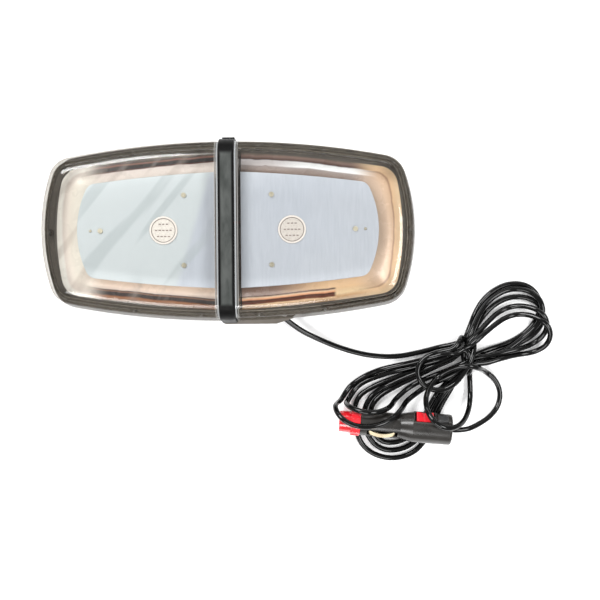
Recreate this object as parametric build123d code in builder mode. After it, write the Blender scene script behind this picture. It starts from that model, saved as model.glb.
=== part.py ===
"""Mini magnetic LED warning light bar with its lead and vehicle plug. Millimetres, +X along the bar,
+Y away from the lead, +Z up. The origin is under the middle of the bar, on the surface it stands on."""

import os
from math import cos, pi, radians, sin, tan

from build123d import *

os.makedirs("parts", exist_ok=True)

# Plan of the bar: a barrel shape with bowed sides and rounded corners
half_length = 152.0
half_width = 73.5
corner_x = 140.0
corner_y = 59.0
corner_radius = 22.0
corner_move = (0.706, 0.872)  # how far the corner point moves for each millimetre of inset
least_corner = 8.0

# Levels
foot_height = 7.0
floor_top = 10.0
rim_bottom = 17.0
rim_top = 21.0
lens_bottom = 22.0
lens_top = 58.0
bridge_top = 60.0
bowl_bottom = 21.6
bowl_top = 39.0
plate_thickness = 1.6

# Walls
lens_wall = 2.6
lens_taper = 7.0
shoulder_radius = 14.0
tray_inset = 9.0
tray_wall = 2.5
bridge_half = 6.1
end_face = 6.5
end_wall = 2.8

# LED boards
plate_inner_x = 10.4
plate_inner_y = 46.7
plate_corner = (112.0, 37.5)
plate_outer_x = 121.5
plate_radius = 9.0
led_size = 3.6
led_height = 1.4
disc_x = 51.7
plate_screws_at = ((35.3, 28.2), (35.3, -28.2), (102.7, 0.0))
plate_pin_x = 110.7

# Lens screws and magnets
lens_screws_at = ((24.0, 68.6), (78.0, 64.6), (134.7, 53.4), (147.2, 0.0))
magnet_x = 105.0
magnet_y = 36.0
magnet_radius = 20.0
stud_radius = 2.0

# Boss over the place where the lead leaves
boss_x = (-6.0, 38.0)
boss_y = 76.3
boss_fade = (70.0, -66.0)  # where its slanted end runs back into the rim

# Plug: u runs along its axis from the tip to the cord
plug_tip = (89.0, -157.0, 17.5)
plug_turn = -5.0
plug_roll = 45.0
plug_length = 92.4
sleeve_length = 17.0
nose_radius = 6.2
barrel_radius = 10.2
handle_radius = 12.5
shell_wall = 2.2
rocker_at = 69.2
button_at = 84.0

# Lead
cord_radius = 2.25
gland_at = (41.0, -69.0, 11.8)
gland_turn = -42.0


def save(piece, name):
    """Label a finished piece and write it."""
    piece.part.label = name
    export_step(piece.part, f"parts/{name}.step")


def barrel(level, inset=0.0):
    """Plan outline of the bar at a level, moved in by inset."""
    far_x = corner_x - corner_move[0] * inset
    far_y = corner_y - corner_move[1] * inset
    with BuildSketch(Plane.XY.offset(level)) as outline:
        with BuildLine():
            ThreePointArc((-far_x, far_y), (0, half_width - inset), (far_x, far_y))
            ThreePointArc((far_x, far_y), (half_length - inset, 0), (far_x, -far_y))
            ThreePointArc((far_x, -far_y), (0, inset - half_width), (-far_x, -far_y))
            ThreePointArc((-far_x, -far_y), (inset - half_length, 0), (-far_x, far_y))
        make_face()
        fillet(outline.vertices(), max(corner_radius - inset, least_corner))
    return outline.sketch


def half_plan(level, inner, corner, outer_x, radius):
    """Plan of a piece on the +X half: a straight inner end, bowed sides and rounded outer corners."""
    inner_x, inner_y = inner
    far_x, far_y = corner
    side_x = (inner_x + far_x) / 2
    side_y = (inner_y + far_y) / 2 + 0.012 * (far_x - inner_x)
    with BuildSketch(Plane.XY.offset(level)) as outline:
        with BuildLine():
            Line((inner_x, -inner_y), (inner_x, inner_y))
            ThreePointArc((inner_x, inner_y), (side_x, side_y), (far_x, far_y))
            ThreePointArc((far_x, far_y), (outer_x, 0), (far_x, -far_y))
            ThreePointArc((far_x, -far_y), (side_x, -side_y), (inner_x, -inner_y))
        make_face()
        outer = outline.vertices().sort_by(Axis.X)[-2:]
        fillet(outer, radius)
    return outline.sketch


def bowl_plan(level, share, wall=0.0):
    """Plan of the reflector bowl: share 0 is its wide foot and 1 its narrow deck; wall shrinks it."""

    def between(foot, deck):
        return foot + (deck - foot) * share

    inner = (9.9 + wall, between(64.6, 40.5) - wall)
    corner = (between(135.5, 105.0) - wall, between(50.5, 31.0) - wall)
    return half_plan(level, inner, corner, between(142.0, 114.0) - wall, between(16.0, 8.0))


# ---------------------------------------------------------------- bar: tray and what fastens to it

stud_places = [(sx * magnet_x, sy * magnet_y) for sx in (-1, 1) for sy in (-1, 1)]
lens_screw_places = sorted({(sx * x, sy * y) for x, y in lens_screws_at for sx in (-1, 1) for sy in (-1, 1)})
bridge_screw_places = [(0, 68.5), (0, -68.5)]
bowl_post_places = [(sx * x, y) for sx in (-1, 1) for x, y in ((30, 50), (30, -50), (126, 0))]
board_post_places = [(-55 + sx * 40, sy * 22) for sx in (-1, 1) for sy in (-1, 1)]
vent_place = (60, 0)
up_from = (Align.CENTER, Align.CENTER, Align.MIN)

gland_way = (cos(radians(gland_turn)), sin(radians(gland_turn)), 0)
gland_plane = Plane(origin=gland_at, x_dir=(0, 0, 1), z_dir=gland_way)
gland_length = 22.0
lead_groove = 12.0  # the gland's bore runs on as a groove in the floor for the lead
gland_radius = 4.0

with BuildPart() as base_tray:
    extrude(barrel(foot_height, tray_inset + 1.5), amount=1.5)
    extrude(barrel(foot_height + 1.5, tray_inset), amount=rim_bottom - foot_height - 1.5)
    extrude(barrel(rim_bottom), amount=rim_top - rim_bottom)
    with BuildSketch(Plane.XY.offset(rim_bottom)) as boss:
        with BuildLine():
            Polyline((boss_x[0], 0), (boss_x[0], -boss_y), (boss_x[1], -boss_y), boss_fade, (boss_fade[0], 0),
                     close=True)
        make_face()
        fillet(boss.vertices().group_by(Axis.Y)[0], 3.0)
    extrude(amount=rim_top - rim_bottom)
    extrude(barrel(floor_top, tray_inset + tray_wall), amount=rim_top, mode=Mode.SUBTRACT)
    with Locations(*[(x, y, floor_top) for x, y in bowl_post_places]):
        Cylinder(4.5, bowl_bottom - floor_top, align=up_from)
    with Locations(*[(x, y, floor_top) for x, y in board_post_places]):
        Cylinder(3.0, 3.0, align=up_from)
    with Locations(*[(x, y, floor_top) for x, y in stud_places]):
        Cylinder(7.0, 4.0, align=up_from)
    with Locations((0, 0, floor_top), (78, 0, floor_top), (-118, 0, floor_top)):
        Box(2.0, 84.0, 2.4, align=up_from)
    with Locations(*stud_places):
        Cylinder(stud_radius, 60, mode=Mode.SUBTRACT)
    with Locations(*lens_screw_places):
        Cylinder(1.5, 60, mode=Mode.SUBTRACT)
    with Locations(*bridge_screw_places):
        Cylinder(1.9, 60, mode=Mode.SUBTRACT)
    with Locations(vent_place):
        Cylinder(4.0, 60, mode=Mode.SUBTRACT)
    with BuildSketch(gland_plane.offset(-gland_length - lead_groove)):
        Circle(gland_radius)
    extrude(amount=gland_length + lead_groove, mode=Mode.SUBTRACT)
save(base_tray, "base_tray")

with BuildPart() as base_gasket:
    extrude(barrel(rim_top, 0.6), amount=lens_bottom - rim_top)
    extrude(barrel(rim_top, 7.8), amount=lens_bottom - rim_top, mode=Mode.SUBTRACT)
    with Locations(*lens_screw_places):
        Cylinder(1.5, 60, mode=Mode.SUBTRACT)
    with Locations(*bridge_screw_places):
        Cylinder(1.9, 60, mode=Mode.SUBTRACT)
save(base_gasket, "base_gasket")

with BuildPart() as magnets:
    with Locations(*[(x, y, 1.5) for x, y in stud_places]):
        Cylinder(magnet_radius, 4.5, align=up_from)
    fillet(magnets.edges().group_by(Axis.Z)[-1], 1.0)
save(magnets, "magnets")

with BuildPart() as magnet_boots:
    with Locations(*stud_places):
        Cylinder(magnet_radius + 1.5, foot_height, align=up_from)
    fillet(magnet_boots.edges().group_by(Axis.Z)[0], 1.2)
    with Locations(*[(x, y, 1.5) for x, y in stud_places]):
        Cylinder(magnet_radius, 4.5, align=up_from, mode=Mode.SUBTRACT)
        Cylinder(2.4, 10, align=up_from, mode=Mode.SUBTRACT)
save(magnet_boots, "magnet_boots")

with BuildPart() as magnet_studs:
    with Locations(*[(x, y, 6.0) for x, y in stud_places]):
        Cylinder(stud_radius - 0.05, 14.0, align=up_from)
save(magnet_studs, "magnet_studs")

with BuildPart() as magnet_nuts:
    for x, y in stud_places:
        with BuildSketch(Plane.XY.offset(floor_top + 4.0)):
            with Locations((x, y)):
                RegularPolygon(3.5, 6, major_radius=False)
                Circle(stud_radius, mode=Mode.SUBTRACT)
        extrude(amount=3.2)
save(magnet_nuts, "magnet_nuts")

with BuildPart() as vent_plug:
    with Locations((*vent_place, foot_height)):
        Cylinder(3.95, floor_top - foot_height, align=up_from)
    with Locations((*vent_place, floor_top)):
        Cylinder(5.5, 1.5, align=up_from)
save(vent_plug, "vent_plug")

# ---------------------------------------------------------------- bar: domes and strap


def dome(inset, level, top, radius):
    """Solid under one barrel-shaped dome with leaning sides and a round shoulder."""
    with BuildPart() as block:
        lean = (top - level) * tan(radians(lens_taper))
        loft([barrel(level, inset), barrel(top, inset + lean)])
        fillet(block.edges().group_by(Axis.Z)[-1], radius)
    return block.part


dome_cavity = dome(lens_wall, lens_bottom - 0.5, lens_top - lens_wall, shoulder_radius - lens_wall)
with BuildPart() as half_cavity:
    add(dome_cavity)
    split(bisect_by=Plane.YZ.offset(end_face + end_wall), keep=Keep.TOP)

with BuildPart() as lens_right:
    add(dome(0, lens_bottom, lens_top, shoulder_radius))
    split(bisect_by=Plane.YZ.offset(end_face), keep=Keep.TOP)
    add(half_cavity.part, mode=Mode.SUBTRACT)
    with Locations(*[(x, y, lens_bottom) for x, y in lens_screw_places if x > 0]):
        Cylinder(3.0, 9.0, align=up_from)
    with Locations(*[(x, y, lens_bottom) for x, y in lens_screw_places if x > 0]):
        Cylinder(1.25, 8.0, align=up_from, mode=Mode.SUBTRACT)
save(lens_right, "lens_right")

with BuildPart() as lens_left:
    mirror(lens_right.part, about=Plane.YZ)
save(lens_left, "lens_left")

with BuildPart() as lens_screws:
    with Locations(*[(x, y, rim_bottom - 1.8) for x, y in lens_screw_places]):
        Cylinder(2.6, 1.8, align=up_from)
        Cylinder(1.15, 13.0, align=up_from)
save(lens_screws, "lens_screws")

strap_foot_y = half_width + 1.9
strap_top_y = strap_foot_y - (bridge_top - lens_bottom) * tan(radians(lens_taper))
with BuildPart() as centre_bridge:
    with BuildSketch(Plane.YZ.offset(-bridge_half)) as arch:
        with BuildLine():
            Polyline((-strap_foot_y, lens_bottom), (-strap_top_y, bridge_top), (strap_top_y, bridge_top),
                     (strap_foot_y, lens_bottom), (strap_foot_y - 9, lens_bottom),
                     (strap_top_y - 7, bridge_top - 6), (7 - strap_top_y, bridge_top - 6),
                     (9 - strap_foot_y, lens_bottom), close=True)
        make_face()
        fillet(arch.vertices().group_by(Axis.Y)[-1], shoulder_radius + 1.5)
        fillet(arch.vertices().group_by(Axis.Y)[-2], 9.0)
    extrude(amount=2 * bridge_half)
    fillet(centre_bridge.faces().filter_by(Axis.X).edges(), 0.8)
    with Locations((0, half_width + 1.5, rim_bottom + 1)):
        Box(2 * bridge_half - 2, 2.6, 9.0, align=up_from)
    with Locations(*[(x, y, lens_bottom - 4) for x, y in bridge_screw_places]):
        Cylinder(1.6, 16.0, align=up_from, mode=Mode.SUBTRACT)
save(centre_bridge, "centre_bridge")

with BuildPart() as bridge_screws:
    with Locations(*[(x, y, rim_bottom - 2.2) for x, y in bridge_screw_places]):
        Cylinder(3.2, 2.2, align=up_from)
        Cylinder(1.5, 18.0, align=up_from)
save(bridge_screws, "bridge_screws")

# ---------------------------------------------------------------- bar: light engine

bowl_steps = ((bowl_bottom, 0.0), (25.2, 0.5), (30.5, 0.82), (bowl_top, 1.0))
bowl_wall = 1.8
wire_place = (26, 10)
fixing_places = [*plate_screws_at, (plate_pin_x, 0)]

with BuildPart() as reflector_right:
    loft([bowl_plan(level, share) for level, share in bowl_steps])
    cavity_steps = [(level - 0.05, share) for level, share in bowl_steps[:-1]]
    cavity_steps.append((bowl_top - bowl_wall, 0.97))
    loft([bowl_plan(level, share, bowl_wall) for level, share in cavity_steps], mode=Mode.SUBTRACT)
    with Locations(*[(x, y, bowl_bottom) for x, y in bowl_post_places if x > 0]):
        Cylinder(3.6, 3.0, align=up_from)
    with Locations(*[(x, y, bowl_top - 7) for x, y in plate_screws_at]):
        Cylinder(3.2, 6.0, align=up_from)
    with Locations(*[(x, y, bowl_top - 6) for x, y in plate_screws_at]):
        Cylinder(1.15, 10, align=up_from, mode=Mode.SUBTRACT)
    with Locations((plate_pin_x, 0, bowl_top - 2)):
        Cylinder(1.05, 6, align=up_from, mode=Mode.SUBTRACT)
    with Locations((*wire_place, bowl_top - 4)):
        Cylinder(1.6, 10, align=up_from, mode=Mode.SUBTRACT)
save(reflector_right, "reflector_right")

with BuildPart() as led_plate_right:
    extrude(half_plan(bowl_top, (plate_inner_x, plate_inner_y), plate_corner, plate_outer_x, plate_radius),
            amount=plate_thickness)
    with Locations(*[(x, y, bowl_top) for x, y in fixing_places]):
        Cylinder(1.15, 10, mode=Mode.SUBTRACT)
    fillet(led_plate_right.faces().sort_by(Axis.Z)[-1].outer_wire().edges(), 0.4)
save(led_plate_right, "led_plate_right")

with BuildPart() as label_disc_right:
    with Locations((disc_x, 0, bowl_top + plate_thickness)):
        Cylinder(11.3, 1.4, align=up_from)
    fillet(label_disc_right.edges().group_by(Axis.Z)[-1], 0.5)
    with Locations((disc_x, 0, bowl_top + plate_thickness + 1.0)):
        Cylinder(9.5, 1.0, align=up_from, mode=Mode.SUBTRACT)
save(label_disc_right, "label_disc_right")


def led_places():
    """Centres of the LED packages along the board's sides and outer end, on the +X half."""
    places = []
    sides = 8
    for step in range(sides):
        share = 0.07 + step * 0.85 / (sides - 1)
        x = plate_inner_x + (plate_corner[0] - plate_inner_x) * share
        bow = 4.8 * share * (1 - share)
        y = plate_inner_y + (plate_corner[1] - plate_inner_y) * share + bow - 3.2
        places += [(x, y), (x, -y)]
    for step in range(5):
        y = -26 + 13 * step
        x = plate_outer_x - (plate_outer_x - plate_corner[0]) * (y / plate_corner[1]) ** 2 - 3.4
        places.append((x, y))
    return places


with BuildPart() as leds_right:
    with Locations(*[(x, y, bowl_top - led_height) for x, y in led_places()]):
        Box(led_size, led_size, led_height, align=up_from)
save(leds_right, "leds_right")

with BuildPart() as plate_screws:
    for side in (-1, 1):
        with Locations(*[(side * x, y, bowl_top + plate_thickness) for x, y in plate_screws_at]):
            Cylinder(2.0, 1.3, align=up_from)
        with Locations(*[(side * x, y, bowl_top - 5) for x, y in plate_screws_at]):
            Cylinder(1.05, 6.8, align=up_from)
        with Locations((side * plate_pin_x, 0, bowl_top - 1.5)):
            Cylinder(1.0, 3.7, align=up_from)
save(plate_screws, "plate_screws")

for piece, name in ((reflector_right, "reflector_left"), (led_plate_right, "led_plate_left"),
                    (label_disc_right, "label_disc_left"), (leds_right, "leds_left")):
    with BuildPart() as mirrored:
        mirror(piece.part, about=Plane.YZ)
    save(mirrored, name)

# ---------------------------------------------------------------- bar: driver

board_level = floor_top + 3.0
board_top = board_level + 1.6

with BuildPart() as driver_board:
    with Locations((-55, 0, board_level)):
        Box(92, 52, 1.6, align=up_from)
save(driver_board, "driver_board")

with BuildPart() as driver_coils:
    with Locations((-82, 13, board_top), (-82, -13, board_top)):
        Cylinder(7.0, 8.0, align=up_from)
        Cylinder(4.6, 9.0, align=up_from)
save(driver_coils, "driver_coils")

with BuildPart() as driver_capacitors:
    with Locations((-62, 16, board_top), (-62, 2, board_top), (-62, -14, board_top)):
        Cylinder(5.0, 11.5, align=up_from)
    fillet(driver_capacitors.edges().group_by(Axis.Z)[-1], 0.6)
save(driver_capacitors, "driver_capacitors")

with BuildPart() as driver_chips:
    with Locations(*[(-44, y, board_top) for y in (-18, -9, 0, 9, 18)]):
        Box(6.5, 5.5, 2.3, align=up_from)
    with Locations((-31, 0, board_top)):
        Box(8, 8, 1.6, align=up_from)
save(driver_chips, "driver_chips")

with BuildPart() as terminal_block:
    with Locations((-17, 0, board_top)):
        Box(8, 20, 8.5, align=up_from)
    with Locations(*[(-17, y, board_top + 8.5) for y in (-7.5, -2.5, 2.5, 7.5)]):
        Cylinder(1.7, 5.0, mode=Mode.SUBTRACT)
save(terminal_block, "terminal_block")


def cord_way(points, radius, name, least=0.0):
    """Round tube along straight runs joined by arcs as large as the runs allow."""
    stops = [Vector(*point) for point in points]
    radii = []
    for before, here, after in zip(stops, stops[1:], stops[2:]):
        turn = radians((here - before).get_angle(after - here))
        radii.append(0.45 * min((here - before).length, (after - here).length) / tan(turn / 2))
    with BuildPart() as tube:
        with BuildLine() as route:
            FilletPolyline(*points, radius=radii)
        with BuildSketch(Plane(origin=stops[0], z_dir=stops[1] - stops[0])):
            Circle(radius)
        sweep()
    length = sum(edge.length for edge in route.edges())
    ratio = tube.part.volume / (pi * radius**2 * length)
    runs = [(b - a).length for a, b in zip(stops, stops[1:])]
    print(name, "length", round(length, 1), "volume ratio", round(ratio, 4),
          "runs", [round(run) for run in runs], "radii", [round(r) for r in radii])
    if min(radii) < least:
        print("  smallest radius is under", least)
    return tube


board_leads = cord_way([(-30, 8, board_top), (-30, 8, 21), (-26, 10, 30), (-26, 10, bowl_top)], 1.0,
                       "lead one")
second_lead = cord_way([(-13, 7.5, 19), (4, 7, 18.6), (20, 8, 20), (26, 10, 29), (26, 10, bowl_top)], 1.0,
                       "lead two")
with BuildPart() as leads:
    add(board_leads.part)
    add(second_lead.part)
save(leads, "board_leads")

# ---------------------------------------------------------------- gland and the lead inside the bar

with BuildPart() as cord_gland:
    with BuildSketch(gland_plane.offset(-gland_length)):
        Circle(5.4)
    extrude(amount=3.0)
    with BuildSketch(gland_plane.offset(3.0 - gland_length)):
        Circle(gland_radius)
    extrude(amount=gland_length - 3.0)
    chamfer(cord_gland.faces().sort_by(Axis.Y)[0].edges(), 0.9)
    with BuildSketch(gland_plane.offset(-gland_length)):
        Circle(cord_radius)
    extrude(amount=gland_length, mode=Mode.SUBTRACT)
save(cord_gland, "cord_gland")

gland_back = tuple(gland_plane.from_local_coords((0, 0, -gland_length - 3)))
inner_lead = cord_way([gland_at, gland_back, (7, -37, 13.5), (-4, -18, 18), (-13, -7.5, 19)], cord_radius,
                      "inner_lead")
save(inner_lead, "inner_lead")

# ---------------------------------------------------------------- plug

turn = radians(plug_turn)
roll = radians(plug_roll)
plug_way = Vector(cos(turn), sin(turn), 0)
plug_up = Vector(-sin(turn) * sin(roll), cos(turn) * sin(roll), cos(roll))
plug = Plane(origin=plug_tip, x_dir=plug_way, z_dir=plug_up)
along = (0, 90, 0)
nose_start = 2.0
barrel_start = sleeve_length + 0.4
flare_start = 50.0
flare_end = 60.0
screw_u = 53.5
window_u = (22.8, 48.0)
grip_start = 9.2
grip_radius = 10.4
sleeve_bore = nose_radius + 0.3


def turned(points, rounding=None, radius=0.0):
    """Solid of revolution in the plug's own frame; each point is (along the axis, radius)."""
    with BuildPart() as solid:
        with BuildSketch(Plane.XY) as profile:
            with BuildLine():
                Polyline(*points, close=True)
            make_face()
            if rounding:
                fillet([v for v in profile.vertices() if v.Y > rounding], radius)
        revolve(axis=Axis.X)
    return solid.part


shell_outside = turned([(nose_start, 0), (nose_start, nose_radius), (barrel_start, nose_radius),
                        (barrel_start, barrel_radius), (flare_start, barrel_radius),
                        (flare_end, handle_radius), (plug_length, handle_radius), (plug_length, 0)],
                       handle_radius - 0.1, 2.0)
shell_inside = turned([(nose_start - 1, 0), (nose_start - 1, 3.8), (6, 3.8), (6, 4.7), (18, 4.7), (19.5, 8.0),
                       (flare_start, 8.0), (flare_end, handle_radius - shell_wall),
                       (plug_length - shell_wall, handle_radius - shell_wall), (plug_length - shell_wall, 0)])

with BuildPart(plug) as plug_shell:
    add(shell_outside)
    add(shell_inside, mode=Mode.SUBTRACT)
    with Locations((screw_u, 0, 0)):
        Cylinder(3.0, 20.5)
    # openings: side contacts, rocker with its bezel, push button, cord
    with Locations(((window_u[0] + window_u[1]) / 2, 0, 0)):
        Box(window_u[1] - window_u[0], 40, 5.4, mode=Mode.SUBTRACT)
    with Locations((rocker_at, 0, 6)):
        Box(16.0, 9.6, 10, align=up_from, mode=Mode.SUBTRACT)
    with Locations((rocker_at, 0, 11.2)):
        Box(18.4, 11.8, 4, align=up_from, mode=Mode.SUBTRACT)
    with Locations((button_at, 0, 9)):
        Box(9.4, 7.4, 5, align=up_from, mode=Mode.SUBTRACT)
    with Locations((plug_length, 0, 0)):
        Cylinder(3.2, 10, rotation=along, mode=Mode.SUBTRACT)
    # screw hole and its counterbore
    with Locations((screw_u, 0, -14)):
        Cylinder(1.3, 21, align=up_from, mode=Mode.SUBTRACT)
        Cylinder(2.6, 5.0, align=up_from, mode=Mode.SUBTRACT)

for keep, name in ((Keep.TOP, "plug_shell_upper"), (Keep.BOTTOM, "plug_shell_lower")):
    with BuildPart() as shell_half:
        add(plug_shell.part)
        split(bisect_by=plug, keep=keep)
    save(shell_half, name)

with BuildPart(plug) as plug_screw:
    with Locations((screw_u, 0, -11.0)):
        Cylinder(2.4, 2.0, align=up_from)
        Cylinder(1.2, 17.5, align=up_from)
save(plug_screw, "plug_screw")

with BuildPart(plug) as adapter_sleeve:
    add(turned([(0, sleeve_bore), (0, 8.6), (grip_start, 9.0), (grip_start, grip_radius),
                (sleeve_length, grip_radius), (sleeve_length, sleeve_bore)]))
    for step in range(16):
        angle = 2 * pi * step / 16
        with Locations(((grip_start + sleeve_length) / 2, 10.2 * cos(angle), 10.2 * sin(angle))):
            Cylinder(0.75, sleeve_length - grip_start - 1.0, rotation=along)
save(adapter_sleeve, "adapter_sleeve")

with BuildPart(plug) as tip_contact:
    add(turned([(0.4, 0), (0.4, 2.2), (1.6, 3.5), (6.3, 3.5), (6.3, 4.4), (7.8, 4.4), (7.8, 0)]))
save(tip_contact, "tip_contact")

spring_start = 7.9
spring_length = 6.2
with BuildPart() as tip_spring:
    with BuildLine():
        coil = Helix(pitch=spring_length / 5, height=spring_length - 0.8, radius=3.2,
                     center=tuple(plug.from_local_coords((spring_start + 0.4, 0, 0))),
                     direction=tuple(plug_way))
    with BuildSketch(Plane(origin=coil @ 0, z_dir=coil % 0)):
        Circle(0.35)
    sweep()
save(tip_spring, "tip_spring")

with BuildPart(plug) as plug_fuse:
    add(turned([(14.5, 0), (14.5, 3.0), (19.5, 3.0), (19.5, 2.6), (29.5, 2.6), (29.5, 3.0), (34.5, 3.0),
                (34.5, 0)]))
save(plug_fuse, "plug_fuse")

with BuildPart(plug) as fuse_clip:
    with Locations((34.5, 0, 0)):
        Box(1.2, 6.4, 6.4, align=(Align.MIN, Align.CENTER, Align.CENTER))
        Box(13.5, 3.0, 0.8, align=(Align.MIN, Align.CENTER, Align.CENTER))
save(fuse_clip, "fuse_clip")

with BuildPart(plug) as contact_board:
    with Locations((54.2, 0, 0)):
        Box(12.0, 15.0, 1.4)
    with Locations((screw_u, 0, 0)):
        Cylinder(3.2, 5, mode=Mode.SUBTRACT)
save(contact_board, "contact_board")

contact_thickness = 0.9
contact_width = 4.4
for side, name in ((1, "side_contact_upper"), (-1, "side_contact_lower")):
    with BuildPart(plug) as side_contact:
        with BuildSketch(plug.offset(-contact_width / 2)) as bow:
            with BuildLine():
                Line((24.5, side * 5.9), (24.5, side * 8.7))
                ThreePointArc((24.5, side * 8.7), (35.0, side * 12.0), (46.0, side * 8.7))
                Line((46.0, side * 8.7), (46.0, side * 5.9))
                Line((46.0, side * 5.9), (45.1, side * 5.9))
                Line((45.1, side * 5.9), (45.1, side * 8.1))
                ThreePointArc((45.1, side * 8.1), (35.0, side * (12.0 - contact_thickness)),
                              (25.4, side * 8.1))
                Line((25.4, side * 8.1), (25.4, side * 5.9))
                Line((25.4, side * 5.9), (24.5, side * 5.9))
            make_face()
        extrude(amount=contact_width)
    save(side_contact, name)

pivot_height = 10.3
with BuildPart(plug) as rocker_bezel:
    with Locations((rocker_at, 0, 11.2)):
        Box(18.3, 11.7, 2.4, align=up_from)
        Box(15.9, 9.5, 2.4, align=up_from, mode=Mode.SUBTRACT)
    chamfer(rocker_bezel.edges().group_by(Axis(plug_tip, plug_up))[-1], 0.4)
save(rocker_bezel, "rocker_bezel")

rocker_side = Plane(origin=plug.from_local_coords((rocker_at, 4.4, 0)), x_dir=plug_way, z_dir=-plug.y_dir)
with BuildPart() as rocker_switch:
    with BuildSketch(rocker_side) as face:
        with BuildLine():
            Polyline((-6.5, 8.9), (6.5, 8.9), (7.0, 14.8), (0, 13.3), (-7.0, 14.8), close=True)
        make_face()
        fillet(face.vertices().sort_by(Axis.Y)[-2:], 0.6)
    extrude(amount=8.8)
    with BuildSketch(rocker_side):
        with Locations((0, pivot_height)):
            Circle(0.85)
    extrude(amount=8.8, mode=Mode.SUBTRACT)
save(rocker_switch, "rocker_switch")

with BuildPart(plug) as rocker_pin:
    with Locations((rocker_at, 0, pivot_height)):
        Cylinder(0.8, 12.0, rotation=(90, 0, 0))
save(rocker_pin, "rocker_pin")

with BuildPart(plug) as switch_board:
    with Locations((74.6, 0, 0.6)):
        Box(24.0, 19.8, 1.4, align=up_from)
    with Locations((rocker_at, 0, 2.0)):
        Box(13.0, 8.0, 5.4, align=up_from)
save(switch_board, "switch_board")

with BuildPart(plug) as mode_button:
    with Locations((button_at, 0, 7.4)):
        Box(10.4, 8.4, 1.4, align=up_from)
    with Locations((button_at, 0, 7.4)):
        Box(8.8, 6.8, 7.0, align=up_from)
    fillet(mode_button.edges().group_by(Axis(plug_tip, plug_up))[-1], 1.2)
    with Locations((button_at, 0, 7.4)):
        Cylinder(2.8, 3.0, align=up_from, mode=Mode.SUBTRACT)
save(mode_button, "mode_button")

with BuildPart() as button_spring:
    with BuildLine():
        button_coil = Helix(pitch=1.6, height=7.2, radius=2.0,
                            center=tuple(plug.from_local_coords((button_at, 0, 2.5))),
                            direction=tuple(plug_up))
    with BuildSketch(Plane(origin=button_coil @ 0, z_dir=button_coil % 0)):
        Circle(0.3)
    sweep()
save(button_spring, "button_spring")

with BuildPart(plug) as cord_bush:
    with Locations((plug_length - shell_wall, 0, 0)):
        Cylinder(3.2, shell_wall, rotation=along, align=(Align.CENTER, Align.CENTER, Align.MIN))
    with Locations((plug_length - shell_wall - 3.0, 0, 0)):
        Cylinder(5.0, 3.0, rotation=along, align=(Align.CENTER, Align.CENTER, Align.MIN))
save(cord_bush, "cord_bush")

# ---------------------------------------------------------------- lead: hank and the stretches outside it

hank_level = 0.15
hank_top = 13.0
low_top = 4.7
waist_top = 20.0


def slab(points, top, rounding, name):
    """Outer shape of one part of the hank: a flat plate with rounded corners."""
    with BuildPart() as plate:
        with BuildSketch(Plane.XY.offset(hank_level)) as outline:
            with BuildLine():
                Polyline(*points, close=True)
            make_face()
            fillet(outline.vertices(), rounding)
        extrude(amount=top - hank_level)
        fillet(plate.edges().group_by(Axis.Z)[-1], 1.5)
    save(plate, name)


slab([(186, -101), (153, -109), (118, -114), (94, -127), (88.5, -142.3), (147, -142.3), (160, -134.5),
      (180, -134.5), (186, -127)], hank_top, 3.0, "hank_left")
slab([(200, -94), (202, -75), (214, -53), (229, -42), (246, -42), (264, -51), (270.5, -72), (269, -91),
      (256, -104.5), (231, -107), (211, -110), (200, -112.8)], hank_top, 3.0, "hank_right")
slab([(101, -142.6), (103, -166), (109, -180), (124, -191), (141, -192.5), (156, -184), (170, -167),
      (181.5, -134.8), (160, -134.8), (147.3, -142.6)], low_top, 1.0, "hank_low")
slab([(186, -93), (200, -93), (200, -117), (186, -117)], waist_top, 2.5, "hank_waist")

least_radius = 6 * cord_radius
sheath = {
    "power_cord": [gland_at, (54, -80.5, 8.6), (72, -89.8, 4.2), (92, -98.2, 2.5), (114, -104.2, 2.4),
                   (137, -105.6, 2.45), (158, -101.6, 2.4), (173, -97.6, 2.5), (186, -96.3, 3.2)],
    "cord_tie": [(186, -100.5, 15.4), (175, -101, 15.5), (164, -103, 15.4), (156, -109, 15.5),
                 (153.3, -118, 15.4), (157, -127, 15.5), (165.5, -132.3, 15.4), (175.5, -133, 15.5),
                 (184.5, -128, 15.3), (190.5, -120, 14.2), (192, -117, 13)],
    "cord_loop": [(196, -117, 8), (198.5, -127, 4.5), (198.8, -138, 5.2), (196.8, -148.5, 11),
                  (192, -156.5, 20.5), (184.5, -161.3, 30), (175, -162, 36), (165.8, -157.3, 36.5),
                  (160.3, -149, 31.5), (159.3, -140.5, 21.5), (161, -134.5, 11)],
    "cord_tail": [(200, -115.4, 2.4), (211, -117.5, 2.45), (220, -124.5, 2.4), (224.5, -135.5, 2.45),
                  (222.5, -147, 3.0), (214.5, -156, 6.5), (203, -162, 12.5), (192, -165.7, 17.2)],
    "cord_over_sleeve": [(91, -142.3, 7), (87, -142.4, 15), (85, -144.3, 25.5), (88.5, -151.8, 33.5),
                         (98, -158.6, 35.5), (110, -160.9, 34.5), (123, -159, 33), (133.5, -153.3, 28.5),
                         (140.5, -147, 20), (142.5, -142.3, 9.5)],
    "cord_over_nose": [(96.5, -142.3, 8), (94, -142.6, 17.5), (98, -145.2, 27), (107, -148.3, 32),
                       (117.5, -149.2, 31.5), (126.5, -147.4, 25.5), (131.8, -144.8, 17), (132, -142.3, 8)],
}
plug_end = tuple(plug.from_local_coords((plug_length, 0, 0)))
sheath["cord_tail"].append(plug_end)
for name, route_points in sheath.items():
    cord_piece = cord_way(route_points, cord_radius, name, least_radius)
    save(cord_piece, name)
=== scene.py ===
"""Looks of a magnetic LED light bar, its hanked lead and vehicle plug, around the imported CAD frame."""

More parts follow.
